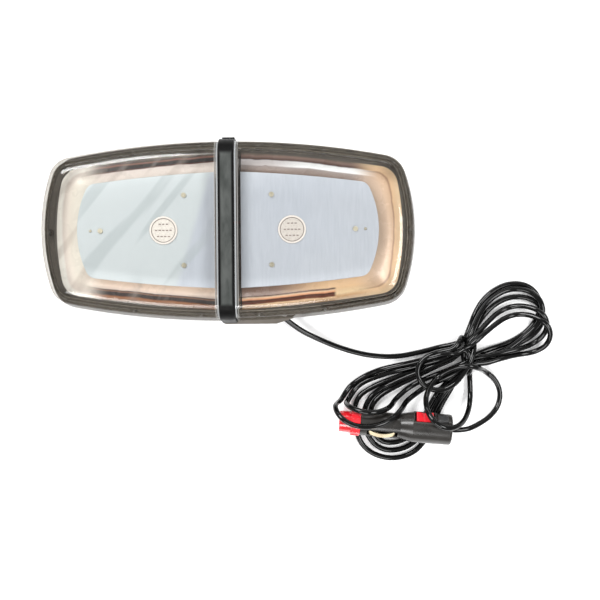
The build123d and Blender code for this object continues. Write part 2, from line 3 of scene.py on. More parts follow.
import math
import bpy
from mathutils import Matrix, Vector


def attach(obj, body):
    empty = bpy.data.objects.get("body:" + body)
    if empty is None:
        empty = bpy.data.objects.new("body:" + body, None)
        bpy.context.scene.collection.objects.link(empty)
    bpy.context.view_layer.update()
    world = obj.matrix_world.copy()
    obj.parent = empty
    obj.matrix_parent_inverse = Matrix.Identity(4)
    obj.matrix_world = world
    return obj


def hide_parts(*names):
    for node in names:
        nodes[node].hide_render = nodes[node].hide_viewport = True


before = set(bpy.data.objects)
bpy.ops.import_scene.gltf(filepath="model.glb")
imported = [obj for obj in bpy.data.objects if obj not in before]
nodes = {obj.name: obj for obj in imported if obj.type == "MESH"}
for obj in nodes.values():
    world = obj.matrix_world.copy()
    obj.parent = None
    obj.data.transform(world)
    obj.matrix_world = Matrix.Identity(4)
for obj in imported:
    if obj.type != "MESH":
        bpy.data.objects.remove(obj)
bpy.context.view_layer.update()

MM = 0.001

CAMERA_LENS = 67.7
CAMERA_PLACE = (0.0663, -0.0506, 0.9475)
CAMERA_TURN = (-0.399, 0.546, -0.486)  # degrees
ROOM_BRIGHTNESS = 0.45
LIGHTS_AIM = (0.05, -0.06, 0.02)
# name, place, size and power of each lamp
SOFT_BOXES = (("key", (-0.45, 0.62, 1.05), (0.6, 0.4), 16),
              ("fill", (0.75, -0.15, 1.15), (0.6, 0.45), 11),
              ("back strip", (0.1, 0.95, 0.55), (1.4, 0.12), 3),
              ("front", (-0.25, -0.85, 0.95), (0.9, 0.4), 12))
FLOOR_SIZE = 8.0
FLOOR_GLOW = 0.15

# places on the bar, in metres
INNER_END = 0.0065  # where each lens half stops beside the strap
LIP = 0.0028  # thickness of the lens half's end wall
SHOULDER_Z = 0.044  # above this the lens curves over to its flat top
LENS_CROWN = 0.0578  # just under the lens's flat top
# the strap's painted shade begins at these places, across it and along it
STRAP_EDGE = (0.0036, 0.0052)  # half the strap's width where its crown rounds over
STRAP_END = (0.058, 0.062)  # along the strap, where it bends down at each end
RIM_BOTTOM = 0.017  # the tray's rim, outside the seal, starts here
BOWL_FOOT = 0.0216  # the wide bottom of the reflector bowl
BOWL_END = (0.098, 0.124)  # from the middle, where a bowl's rounded end begins
GLEAM_SLANT = math.radians(52)  # of the reflected streaks on the bowls and plates

# the round discs and the dashes on them, in metres
DISC_X = 0.0517
DISC_LINE = 0.0095  # radius of the disc's recess
DISC_FACE = 0.0416  # height of the recess's floor
DASH_ROWS = (3, 5, 4)
DASH_PITCH = 0.0029
ROW_PITCH = DASH_PITCH * 1.7
DASH_LONG = 0.0019
DASH_HIGH = 0.0009
DASH_THICK = 0.00012
DASH_SOFTNESS = 0.00005

# the plug's own frame
PLUG_TURN = math.radians(-5)
PLUG_TIP = Vector((0.089, -0.157, 0.0175))
PLUG_LENGTH = 0.0924
PLUG_WAY = Vector((math.cos(PLUG_TURN), math.sin(PLUG_TURN), 0))
FUSE_MIDDLE = 0.0245  # from the plug's tip

BLACK_TO_WHITE = [(0.0, (0, 0, 0)), (1.0, (1, 1, 1))]
DRAWN_UP = (1, 1, 0.05)  # squeezes a texture so that it runs up a wall
# painted reflections: pale and dark colours across the end wall of a lens half, from the strap outwards
LIP_REFLECTIONS = [(0.0, (0.62, 0.64, 0.65)), (0.3, (0.5, 0.52, 0.53)), (0.42, (0.05, 0.045, 0.04)),
             (0.7, (0.1, 0.09, 0.085)), (0.8, (0.62, 0.61, 0.58)), (1.0, (0.5, 0.49, 0.46))]

# painted reflection: colours of the room mirrored in the bowls, from up under the plate (0) out to the wide
# foot (1)
LEFT_BOWL_END = [(0.0, (0.68, 0.64, 0.56)), (0.5, (0.66, 0.6, 0.52)), (0.8, (0.74, 0.65, 0.58)),
                 (0.88, (0.97, 0.93, 0.85)), (1.0, (0.97, 0.92, 0.84))]
LEFT_BOWL_TOP = [(0.0, (0.55, 0.48, 0.43)), (0.4, (0.65, 0.57, 0.52)), (0.6, (0.75, 0.66, 0.61)),
                 (0.64, (0.14, 0.05, 0.035)), (0.7, (0.025, 0.016, 0.015)), (0.82, (0.035, 0.025, 0.022)),
                 (0.88, (0.3, 0.13, 0.09)), (0.92, (0.06, 0.045, 0.04)), (1.0, (0.2, 0.16, 0.13))]
LEFT_BOWL_LOW = [(0.0, (0.64, 0.47, 0.36)), (0.3, (0.73, 0.57, 0.46)), (0.5, (0.6, 0.46, 0.38)),
                 (0.54, (0.05, 0.03, 0.025)), (0.6, (0.22, 0.1, 0.055)), (0.66, (0.03, 0.02, 0.018)),
                 (0.78, (0.04, 0.025, 0.02)), (0.84, (0.36, 0.15, 0.07)), (1.0, (0.3, 0.22, 0.17))]
RIGHT_BOWL_TOP = [(0.0, (0.14, 0.1, 0.08)), (0.25, (0.22, 0.165, 0.14)), (0.45, (0.33, 0.28, 0.26)),
                  (0.52, (0.6, 0.55, 0.54)), (0.76, (0.72, 0.67, 0.67)), (0.8, (0.1, 0.06, 0.05)),
                  (0.92, (0.3, 0.2, 0.17)), (1.0, (0.18, 0.15, 0.12))]
RIGHT_BOWL_END = [(0.0, (0.5, 0.38, 0.29)), (0.35, (0.58, 0.42, 0.31)), (0.68, (0.66, 0.45, 0.3)),
                  (0.74, (0.42, 0.25, 0.16)), (0.79, (0.86, 0.58, 0.35)), (1.0, (0.9, 0.66, 0.42))]
RIGHT_BOWL_LOW = [(0.0, (0.15, 0.095, 0.07)), (0.42, (0.24, 0.15, 0.115)), (0.5, (0.045, 0.018, 0.01)),
                  (0.56, (0.9, 0.6, 0.38)), (0.66, (0.85, 0.36, 0.18)), (0.7, (0.06, 0.02, 0.01)),
                  (0.84, (0.19, 0.055, 0.025)), (0.88, (0.92, 0.62, 0.38)), (1.0, (0.5, 0.33, 0.2))]
RIGHT_BOWL_GOLD = [(0.0, (0.56, 0.37, 0.23)), (0.45, (0.82, 0.54, 0.3)), (0.75, (0.96, 0.72, 0.44)),
                   (0.88, (0.7, 0.42, 0.22)), (1.0, (0.8, 0.6, 0.42))]


# ------------------------------------------------------------------ studio

def studio_camera():
    """Looks down on the bar from almost straight above."""
    lens = bpy.data.cameras.new("camera")
    lens.lens = CAMERA_LENS
    lens.sensor_width = 36.0
    lens.clip_end = 20.0
    camera = bpy.data.objects.new("camera", lens)
    camera.location = CAMERA_PLACE
    camera.rotation_euler = [math.radians(angle) for angle in CAMERA_TURN]
    bpy.context.collection.objects.link(camera)
    bpy.context.scene.camera = camera


def soft_box(name, spot, size, power):
    """A white rectangular studio lamp that points at the bar."""
    lamp = bpy.data.lights.new(name, "AREA")
    lamp.shape = "RECTANGLE"
    lamp.size, lamp.size_y = size
    lamp.energy = power
    holder = bpy.data.objects.new(name, lamp)
    holder.location = spot
    holder.rotation_euler = (Vector(LIGHTS_AIM) - Vector(spot)).to_track_quat("-Z", "Y").to_euler()
    bpy.context.collection.objects.link(holder)


def studio_lights():
    """White surroundings with long soft boxes over and beside the bar."""
    world = bpy.data.worlds.new("white room")
    world.use_nodes = True
    background = world.node_tree.nodes["Background"]
    background.inputs["Color"].default_value = (1.0, 1.0, 1.0, 1)
    background.inputs["Strength"].default_value = ROOM_BRIGHTNESS
    bpy.context.scene.world = world
    for name, spot, size, power in SOFT_BOXES:
        soft_box(name, spot, size, power)


def studio_floor():
    """A wide pale floor with a faint glow of its own, which lightens the shadows."""
    bpy.ops.mesh.primitive_plane_add(size=FLOOR_SIZE)
    floor = bpy.context.object
    floor.name = "floor"
    made, tree, shader = material("pale floor")
    grain = noise(tree, 90, detail=4)
    shade = ramp(tree, grain, [(0.3, (0.9, 0.9, 0.9)), (0.7, (0.93, 0.93, 0.93))])
    plug_in(tree, shader, "Base Color", shade)
    steady(shader, Roughness=0.7, Specular_IOR_Level=0.2, Emission_Color=(1, 1, 1, 1))
    steady(shader, Emission_Strength=FLOOR_GLOW)
    floor.data.materials.append(made)


# ------------------------------------------------------------------ node helpers

def material(name):
    """A new material with its node tree and its Principled shader."""
    made = bpy.data.materials.new(name)
    made.use_nodes = True
    return made, made.node_tree, made.node_tree.nodes["Principled BSDF"]


def plug_in(tree, node, socket, value):
    """Sets a socket, or links to it when the value is another node's socket."""
    if isinstance(value, bpy.types.NodeSocket):
        tree.links.new(value, node.inputs[socket])
    else:
        node.inputs[socket].default_value = value


def added(tree, kind, sockets=(), **settings):
    """Adds a node with its settings and sockets."""
    node = tree.nodes.new(kind)
    for name, value in settings.items():
        setattr(node, name, value)
    for socket, value in dict(sockets).items():
        plug_in(tree, node, socket, value)
    return node


def place(tree, stretch=(1, 1, 1)):
    """Position in the bar's own frame, in metres, squeezed for a texture."""
    spot = added(tree, "ShaderNodeTexCoord").outputs["Object"]
    return added(tree, "ShaderNodeMapping", {"Vector": spot, "Scale": stretch}).outputs[0]


def axis_of(tree, axis):
    """One coordinate of the position in the bar's own frame, in metres."""
    return added(tree, "ShaderNodeSeparateXYZ", {"Vector": place(tree)}).outputs[axis]


def noise(tree, scale, detail=2.0, stretch=(1, 1, 1), warp=0.0):
    """Cloudy noise over the bar, squeezed or warped."""
    sockets = {"Vector": place(tree, stretch), "Scale": scale, "Detail": detail, "Distortion": warp}
    return added(tree, "ShaderNodeTexNoise", sockets).outputs[0]


def sums(tree, way, one, two=0.0, three=0.0):
    """A Math node's result."""
    return added(tree, "ShaderNodeMath", {0: one, 1: two, 2: three}, operation=way).outputs[0]


def span(tree, value, start, end, low=0.0, high=1.0):
    """Maps a value's range from start..end to low..high, smoothly and clamped."""
    sockets = {"Value": value, "From Min": start, "From Max": end, "To Min": low, "To Max": high}
    return added(tree, "ShaderNodeMapRange", sockets, interpolation_type="SMOOTHSTEP").outputs[0]


def ramp(tree, fac, stops):
    """Colour ramp from (position, colour) stops."""
    node = added(tree, "ShaderNodeValToRGB", {"Fac": fac})
    band = node.color_ramp
    while len(band.elements) < len(stops):
        band.elements.new(1.0)
    for element, (position, colour) in zip(band.elements, stops):
        element.position = position
        element.color = (*colour, 1)
    return node.outputs[0]


def blended(tree, fac, one, two, way="MIX"):
    """Mixes two colours; plain colours are given as three numbers."""
    node = added(tree, "ShaderNodeMix", data_type="RGBA", blend_type=way, clamp_factor=True)
    for socket, value in ((0, fac), (6, one), (7, two)):
        if isinstance(value, tuple):
            value = (*value, 1)
        plug_in(tree, node, socket, value)
    return node.outputs[2]


def bumpy(tree, shader, height, strength, distance):
    """Bump from a texture's height; its full height is a distance in metres."""
    sockets = {"Strength": strength, "Distance": distance, "Height": height}
    tree.links.new(added(tree, "ShaderNodeBump", sockets).outputs[0], shader.inputs["Normal"])


def steady(shader, **values):
    """Constant values on the shader's own sockets."""
    for name, value in values.items():
        shader.inputs[name.replace("_", " ")].default_value = value


# ------------------------------------------------------------------ materials

def moulded(name, dark, light, roughness=0.45, grain=1400, depth=0.00004, coat=0.0, specular=0.5,
            rub=0.35):
    """Moulded plastic or rubber: a fine cast grain, cloudy shade and edges rubbed a little lighter."""
    made, tree, shader = material(name)
    cloud = noise(tree, 45, detail=5)
    shade = ramp(tree, cloud, [(0.35, dark), (0.7, light)])
    edge = added(tree, "ShaderNodeNewGeometry").outputs["Pointiness"]
    rubbed = span(tree, edge, 0.53, 0.6, 0.0, rub)
    worn = tuple(min(1.0, value * 1.8 + 0.02) for value in light)
    plug_in(tree, shader, "Base Color", blended(tree, rubbed, shade, worn))
    plug_in(tree, shader, "Roughness", span(tree, cloud, 0.3, 0.75, roughness - 0.06, roughness + 0.08))
    bumpy(tree, shader, noise(tree, grain, detail=3), 0.35, depth)
    steady(shader, Coat_Weight=coat, Coat_Roughness=0.12, Specular_IOR_Level=specular)
    return made


def case_material():
    """Black cast tray whose rim, outside the seal, is the taupe of the lens edge."""
    made = moulded("cast black case", (0.016, 0.016, 0.016), (0.03, 0.029, 0.028), roughness=0.5, rub=0.0)
    tree, shader = made.node_tree, made.node_tree.nodes["Principled BSDF"]
    black = shader.inputs["Base Color"].links[0].from_socket
    taupe = [(0.3, (0.11, 0.097, 0.082)), (0.7, (0.15, 0.133, 0.113))]
    rim = span(tree, axis_of(tree, 2), RIM_BOTTOM - 0.0002, RIM_BOTTOM + 0.0004)
    cloudy_taupe = ramp(tree, noise(tree, 40, detail=3), taupe)
    plug_in(tree, shader, "Base Color", blended(tree, rim, black, cloudy_taupe))
    return made


def metal(name, dark, light, roughness, scale=700):
    """Metal with a fine grain and a few dull patches."""
    made, tree, shader = material(name)
    grain = noise(tree, scale, detail=4)
    plug_in(tree, shader, "Base Color", ramp(tree, grain, [(0.3, dark), (0.7, light)]))
    patches = noise(tree, 120, detail=3)
    plug_in(tree, shader, "Roughness", span(tree, patches, 0.35, 0.7, roughness, roughness + 0.12))
    bumpy(tree, shader, grain, 0.2, 0.00002)
    steady(shader, Metallic=1.0)
    return made


def strap_material():
    """Charcoal strap: a lighter satin crown between dark rounded edges and dark ends, the dark being painted
    shade where the strap rounds over and bends down.
    """
    made, tree, shader = material("charcoal strap")
    cloud = noise(tree, 70, detail=4, stretch=(3, 1, 1))
    shade = ramp(tree, cloud, [(0.3, (0.034, 0.037, 0.035)), (0.7, (0.062, 0.066, 0.063))])
    # painted shade: near-black where the crown rounds over at the edges and where the strap bends down at
    # its ends
    edge = span(tree, sums(tree, "ABSOLUTE", axis_of(tree, 0)), *STRAP_EDGE)
    end = span(tree, sums(tree, "ABSOLUTE", axis_of(tree, 1)), *STRAP_END)
    shade = blended(tree, sums(tree, "MAXIMUM", edge, end), shade, (0.0015, 0.0015, 0.0015))
    plug_in(tree, shader, "Base Color", shade)
    plug_in(tree, shader, "Roughness", span(tree, cloud, 0.3, 0.7, 0.38, 0.5))
    bumpy(tree, shader, noise(tree, 1500, detail=3), 0.3, 0.00003)
    steady(shader, Specular_IOR_Level=0.08)
    return made


def lens_side(tree, height):
    """One where the lens's side wall is seen edge-on, falling to zero on its flat top."""
    facing = added(tree, "ShaderNodeLayerWeight", {"Blend": 0.5}).outputs["Facing"]
    wall = span(tree, height, SHOULDER_Z - 0.002, SHOULDER_Z + 0.0115, 1.0, 0.0)
    return sums(tree, "MULTIPLY", wall, span(tree, facing, 0.3, 0.8, 0.12, 1.0))


def lens_tint(tree, side):
    """What shows through: nearly white, and smoky in soft upright streaks on the side wall."""
    streaks = span(tree, noise(tree, 24, detail=2, stretch=DRAWN_UP), 0.2, 0.8, 0.86, 1.0)
    smoky = [(0.0, (0.985, 0.988, 0.985)), (0.55, (0.93, 0.915, 0.89)), (1.0, (0.84, 0.81, 0.76))]
    return ramp(tree, sums(tree, "MULTIPLY", side, streaks), smoky)


def lens_mirror(tree, height):
    """The polish: a white mirror on the flat top, dulled to taupe below it."""
    below = span(tree, height, LENS_CROWN - 0.0025, LENS_CROWN, 1.0, 0.0)
    reflected = blended(tree, below, (0.9, 0.9, 0.9), (0.17, 0.15, 0.125))
    return added(tree, "ShaderNodeBsdfGlossy", {"Color": reflected, "Roughness": 0.06}).outputs[0]


def lens_body(tree, shader, beside, lip):
    """The solid share of the lens: taupe, with painted reflections in pale and dark lines across the lips
    beside the strap.
    """
    lines = ramp(tree, span(tree, beside, INNER_END, INNER_END + LIP + 0.0006), LIP_REFLECTIONS)
    waver = noise(tree, 60, detail=2, stretch=DRAWN_UP)
    plug_in(tree, shader, "Base Color", blended(tree, lip, (0.13, 0.112, 0.09), lines))
    plug_in(tree, shader, "Roughness", span(tree, waver, 0.3, 0.8, 0.03, 0.07))
    steady(shader, IOR=1.58)
    bumpy(tree, shader, noise(tree, 26, detail=2, stretch=(1, 1, 0.1)), 0.1, 0.0005)


def lens_material():
    """Clear polycarbonate: smoky where its side wall is seen edge-on, with painted reflections that make the
    lips beside the strap pale.
    """
    made, tree, shader = material("clear polycarbonate")
    height = axis_of(tree, 2)
    beside = sums(tree, "ABSOLUTE", axis_of(tree, 0))
    side = lens_side(tree, height)
    lip = span(tree, beside, INNER_END + LIP - 0.0004, INNER_END + LIP + 0.0004, 1.0, 0.0)
    lens_body(tree, shader, beside, lip)
    clear = added(tree, "ShaderNodeBsdfTransparent", {"Color": lens_tint(tree, side)}).outputs[0]
    gloss = added(tree, "ShaderNodeFresnel", {"IOR": 1.5}).outputs[0]
    shine = sums(tree, "MULTIPLY", gloss, sums(tree, "MULTIPLY_ADD", side, -0.77, 0.85))
    body = sums(tree, "MAXIMUM", sums(tree, "MULTIPLY", side, 0.4), sums(tree, "MULTIPLY", lip, 0.42))
    mirror = lens_mirror(tree, height)
    polished = added(tree, "ShaderNodeMixShader", {0: shine, 1: clear, 2: mirror}).outputs[0]
    mix = added(tree, "ShaderNodeMixShader", {0: body, 1: polished, 2: shader.outputs[0]})
    tree.links.new(mix.outputs[0], tree.nodes["Material Output"].inputs["Surface"])
    return made


def lit_half(tree):
    """One on the left half, up to a slanted line where the reflected sky ends."""
    slanted = sums(tree, "MULTIPLY_ADD", axis_of(tree, 1), -0.3, axis_of(tree, 0))
    return span(tree, slanted, -0.031, -0.0245, 1.0, 0.0)


def diagonal_gleam(tree):
    """Painted reflection: soft dark diagonal streaks on the lit half."""
    spin = added(tree, "ShaderNodeVectorRotate", {"Vector": place(tree), "Angle": -GLEAM_SLANT},
                 rotation_type="Z_AXIS")
    squeeze = {"Vector": spin.outputs[0], "Scale": (0.09, 1, 0.1)}
    drawn_out = added(tree, "ShaderNodeMapping", squeeze).outputs[0]
    waves = added(tree, "ShaderNodeTexNoise", {"Vector": drawn_out, "Scale": 95, "Detail": 1.5}).outputs[0]
    left = span(tree, axis_of(tree, 0), -0.03, -0.008, 1.0, 0.0)
    return sums(tree, "MULTIPLY", span(tree, waves, 0.52, 0.68), left)


def bowl_bands(tree):
    """How far out in the bowl a place is, in wavy bands: 0 up under the plate, 1 at the wide foot."""
    height = sums(tree, "SUBTRACT", axis_of(tree, 2), BOWL_FOOT)
    flat_part = sums(tree, "MULTIPLY_ADD", height, -190, 1.0)
    steep_part = sums(tree, "MULTIPLY_ADD", height, -85, 0.62)
    wander = sums(tree, "MULTIPLY_ADD", noise(tree, 22, detail=4, warp=0.6), 0.24, -0.12)
    return sums(tree, "ADD", sums(tree, "MAXIMUM", flat_part, steep_part), wander)


def left_bowl(tree, out, upper, at_end):
    """Left bowl's painted reflection: dark bands along its two long sides and cream round its end."""
    long_sides = blended(tree, upper, ramp(tree, out, LEFT_BOWL_LOW), ramp(tree, out, LEFT_BOWL_TOP))
    return blended(tree, at_end, long_sides, ramp(tree, out, LEFT_BOWL_END))


def right_bowl(tree, x, out, upper, at_end):
    """Right bowl's painted reflection: grey with a white patch above, copper that turns golden below."""
    in_patch = sums(tree, "MULTIPLY", span(tree, x, 0.03, 0.07), span(tree, out, 0.48, 0.54))
    sky_patch = sums(tree, "MULTIPLY", in_patch, span(tree, out, 0.74, 0.78, 1.0, 0.0))
    top = blended(tree, sky_patch, ramp(tree, out, RIGHT_BOWL_TOP), (1.0, 1.0, 1.0))
    slow_turn = ramp(tree, span(tree, x, 0.03, 0.088), BLACK_TO_WHITE)
    sharp_turn = ramp(tree, span(tree, x, 0.085, 0.088), BLACK_TO_WHITE)
    turn_gold = blended(tree, span(tree, out, 0.38, 0.48), slow_turn, sharp_turn)
    low = blended(tree, turn_gold, ramp(tree, out, RIGHT_BOWL_LOW), ramp(tree, out, RIGHT_BOWL_GOLD))
    return blended(tree, at_end, blended(tree, upper, low, top), ramp(tree, out, RIGHT_BOWL_END))


def reflector_material():
    """Bright plated bowls with the room painted in them as bands that follow their shape."""
    made, tree, shader = material("plated reflector")
    x, y = axis_of(tree, 0), axis_of(tree, 1)
    out = bowl_bands(tree)
    upper = span(tree, y, -0.004, 0.004)
    at_end = span(tree, sums(tree, "ABSOLUTE", x), *BOWL_END)
    halves = left_bowl(tree, out, upper, at_end), right_bowl(tree, x, out, upper, at_end)
    colour = blended(tree, span(tree, x, -0.001, 0.001), *halves)
    # painted reflection: dark diagonal streaks over the bowls
    colour = blended(tree, sums(tree, "MULTIPLY", diagonal_gleam(tree), 0.4), colour, (0.36, 0.29, 0.25))
    plug_in(tree, shader, "Base Color", colour)
    plug_in(tree, shader, "Roughness", span(tree, noise(tree, 70, detail=3), 0.3, 0.7, 0.2, 0.34))
    bumpy(tree, shader, noise(tree, 35, detail=2), 0.1, 0.0004)
    steady(shader, Metallic=0.05, Coat_Weight=0.15, Coat_Roughness=0.1, Specular_IOR_Level=0.3)
    return made


def plate_material():
    """Pale blue-grey satin board with a faint rolled grain and painted reflections: the sky lightening its
    left half and soft dark diagonal streaks.
    """
    made, tree, shader = material("satin LED board")
    grain = noise(tree, 900, detail=3, stretch=(1, 0.08, 1))
    shade = ramp(tree, grain, [(0.3, (0.475, 0.5, 0.545)), (0.7, (0.52, 0.545, 0.59))])
    drift = ramp(tree, noise(tree, 12, detail=2), [(0.35, (0.95, 0.96, 0.98)), (0.7, (1.0, 1.0, 1.0))])
    shade = blended(tree, 1.0, shade, drift, "MULTIPLY")
    # painted reflection of the sky on the left half, then painted dark reflected streaks
    shade = blended(tree, sums(tree, "MULTIPLY", lit_half(tree), 0.8), shade, (0.56, 0.6, 0.6))
    shade = blended(tree, sums(tree, "MULTIPLY", diagonal_gleam(tree), 0.55), shade, (0.38, 0.42, 0.43))
    plug_in(tree, shader, "Base Color", shade)
    plug_in(tree, shader, "Roughness", span(tree, grain, 0.3, 0.7, 0.36, 0.46))
    bumpy(tree, shader, grain, 0.1, 0.00002)
    steady(shader, Metallic=0.1, Specular_IOR_Level=0.4)
    return made


def badge_material():
    """Pearly satin disc, darkened to one side in painted shade, with a dark line of painted shade just
    inside its raised rim and a painted highlight on the rim.
    """
    made, tree, shader = material("pearly disc")
    pearl = noise(tree, 900, detail=3)
    shade = ramp(tree, pearl, [(0.3, (0.72, 0.66, 0.6)), (0.7, (0.84, 0.78, 0.71))])
    # painted shade: the disc darkens across to the far side from the key light
    right = span(tree, axis_of(tree, 0), -0.01, 0.01, 0.0, 0.35)
    shade = blended(tree, right, shade, (0.46, 0.4, 0.37))
    across = sums(tree, "SUBTRACT", sums(tree, "ABSOLUTE", axis_of(tree, 0)), DISC_X)
    squares = [sums(tree, "POWER", part, 2) for part in (across, axis_of(tree, 1))]
    radius = sums(tree, "SQRT", sums(tree, "ADD", *squares))
    # painted shade: a dark line where the recess meets its raised rim
    off_line = sums(tree, "ABSOLUTE", sums(tree, "SUBTRACT", radius, DISC_LINE))
    shade = blended(tree, span(tree, off_line, 0.0002, 0.0005, 0.8, 0.0), shade, (0.16, 0.12, 0.1))
    # painted highlight: lighter on the raised rim
    raised_rim = span(tree, radius, DISC_LINE + 0.0002, DISC_LINE + 0.0006)
    shade = blended(tree, raised_rim, shade, (0.85, 0.78, 0.72))
    plug_in(tree, shader, "Base Color", shade)
    plug_in(tree, shader, "Roughness", span(tree, pearl, 0.3, 0.7, 0.25, 0.4))
    bumpy(tree, shader, noise(tree, 1200), 0.15, 0.00003)
    steady(shader, Metallic=0.05, Coat_Weight=0.3)
    return made


def board_material():
    """Green solder mask with lighter tracks under it and tinned dots."""
    made, tree, shader = material("green circuit board")
    tracks = {"Vector": place(tree, (110, 110, 110)), "Mortar Size": 0.035, "Mortar": (0.05, 0.24, 0.1, 1),
              "Color1": (0.02, 0.13, 0.06, 1), "Color2": (0.015, 0.1, 0.05, 1)}
    cells = added(tree, "ShaderNodeTexBrick", tracks).outputs[0]
    dots = added(tree, "ShaderNodeTexVoronoi", {"Vector": place(tree), "Scale": 260}).outputs["Distance"]
    pads = span(tree, dots, 0.16, 0.2, 1.0, 0.0)
    plug_in(tree, shader, "Base Color", blended(tree, pads, cells, (0.62, 0.6, 0.55)))
    plug_in(tree, shader, "Roughness", span(tree, pads, 0.0, 1.0, 0.3, 0.22))
    bumpy(tree, shader, pads, 0.4, 0.0001)
    steady(shader, Coat_Weight=0.3)
    return made


def led_material():
    """White LED package with a yellow phosphor window."""
    made, tree, shader = material("LED phosphor")
    spot = added(tree, "ShaderNodeTexVoronoi", {"Vector": place(tree), "Scale": 420}).outputs["Distance"]
    phosphor = ramp(tree, spot, [(0.3, (0.85, 0.62, 0.08)), (0.5, (0.85, 0.83, 0.78))])
    plug_in(tree, shader, "Base Color", phosphor)
    plug_in(tree, shader, "Roughness", span(tree, spot, 0.3, 0.5, 0.18, 0.45))
    steady(shader, Coat_Weight=0.5)
    return made


def coil_material():
    """Enamelled copper windings."""
    made, tree, shader = material("copper windings")
    wraps = added(tree, "ShaderNodeTexWave", {"Vector": place(tree), "Scale": 700, "Distortion": 1.0},
                  bands_direction="Z").outputs["Fac"]
    copper = ramp(tree, wraps, [(0.2, (0.22, 0.08, 0.03)), (0.8, (0.62, 0.27, 0.11))])
    plug_in(tree, shader, "Base Color", copper)
    bumpy(tree, shader, wraps, 0.6, 0.0002)
    steady(shader, Metallic=0.7, Roughness=0.3, Coat_Weight=0.5)
    return made


def fuse_material():
    """Glass fuse: bright end caps and clear glass between, told apart along the plug."""
    made, tree, shader = material("glass fuse")
    along = sums(tree, "DIVIDE", sums(tree, "SUBTRACT", axis_of(tree, 0), PLUG_TIP.x), PLUG_WAY.x)
    from_middle = sums(tree, "ABSOLUTE", sums(tree, "SUBTRACT", along, FUSE_MIDDLE))
    cap = span(tree, from_middle, 0.0046, 0.0052)
    wire = span(tree, noise(tree, 500, detail=2), 0.4, 0.6)
    glass = blended(tree, wire, (0.72, 0.77, 0.74), (0.9, 0.92, 0.9))
    plug_in(tree, shader, "Base Color", blended(tree, cap, glass, (0.75, 0.72, 0.66)))
    plug_in(tree, shader, "Metallic", cap)
    plug_in(tree, shader, "Roughness", span(tree, cap, 0.0, 1.0, 0.08, 0.3))
    return made


def cord_material():
    """Glossy black PVC sheath with faint extrusion waviness."""
    made, tree, shader = material("black PVC sheath")
    waver = noise(tree, 160, detail=3)
    shade = ramp(tree, waver, [(0.3, (0.001, 0.001, 0.001)), (0.7, (0.0025, 0.0025, 0.0025))])
    plug_in(tree, shader, "Base Color", shade)
    plug_in(tree, shader, "Roughness", span(tree, waver, 0.3, 0.7, 0.1, 0.17))
    bumpy(tree, shader, noise(tree, 420, detail=2), 0.15, 0.0001)
    steady(shader, Specular_IOR_Level=0.06, Coat_Weight=0.5, Coat_Roughness=0.03)
    return made


# ------------------------------------------------------------------ the cord's route, in millimetres

CORD_WIDTH = 4.5
FLOOR_Z = 2.4  # a strand's middle where it lies on the floor
WAIST_Z = 7.0  # and in the waist, where the tie's turns pass under it
WAIST_X = (186, 201)
WAIST_LOW = -118
STEEPEST = 0.5  # fall of a hump for each millimetre along it
EASINGS = 3
BEND_STEPS = 4
GLAND_AT = (41.0, -69.0, 11.8)

# stretches outside the lobes, chosen one by one
POWER_CORD = [GLAND_AT, (54, -80.5, 8.6), (72, -89.8, 4.2), (92, -98.2, 2.5), (114, -104.2, 2.4),
              (137, -105.6, 2.45), (158, -101.6, 2.4), (173, -97.6, 2.5), (184, -95.6, 5.0)]
TIE_START = [(193, -98, 18.4), (197, -105, 18.8), (197.5, -113, 17.3), (197, -119.6, 11),
             (195.5, -118.5, 4.2), (194, -110, 2.4), (193, -100, 2.4), (192, -91.5, 4.2),
             (191, -88.5, 11.0), (188.5, -92, 17.6)]
CORD_TIE = [(184, -98.5, 18.4), (174, -100.5, 16.2), (164, -103, 15.4), (156, -109, 15.5),
            (153.3, -118, 15.4), (157, -127, 15.5), (165.5, -132.3, 15.4), (175.5, -132.5, 15.5),
            (185, -127, 16.6), (191, -119, 18.4)]
TIE_END = [(196, -111, 19.8), (199.5, -102, 18.8), (201, -93.5, 15.2), (200.5, -90, 9),
           (199.8, -93, 3.6), (199.2, -102, 2.4), (198.7, -112, 2.4), (198.4, -119, 2.8)]
CORD_LOOP = [(198.5, -127, 4.5), (198.8, -138, 5.2), (196.8, -148.5, 11), (192, -156.5, 20.5),
             (184.5, -161.3, 30), (175, -162, 36), (165.8, -157.3, 36.5), (160.3, -149, 31.5),
             (159.3, -140.5, 24.5), (161.5, -133.5, 19.5)]
LOOP_END = [(165.5, -127), (171.5, -121), (180, -115.5), (189, -112), (197, -112), (204, -114.3)]
CORD_TAIL = [(211, -117.5, 2.45), (220, -124.5, 2.4), (224.5, -135.5, 2.45), (222.5, -147, 3.0),
             (214.5, -156, 6.5), (203, -162, 12.5), (192, -165.7, 17.2)]
OVER_SLEEVE = [(93.5, -136.5, 4.3), (90.5, -140.8, 8.5), (87, -142.6, 15), (85, -144.3, 25.5),
               (88.5, -151.8, 33), (98, -158.3, 35), (110, -160.6, 34), (123, -158.7, 32.5),
               (133.5, -153.3, 28.5), (140.5, -147, 20), (144.5, -142, 11.5)]
OVER_NOSE = [(99.5, -136.5, 4.3), (96.5, -140.8, 8.8), (94.5, -142.8, 17.5), (98, -145.2, 27),
             (107, -148.3, 31.5), (117.5, -149.2, 31), (126.5, -147.4, 25.5), (132, -144.8, 17.5),
             (135, -141.3, 9)]

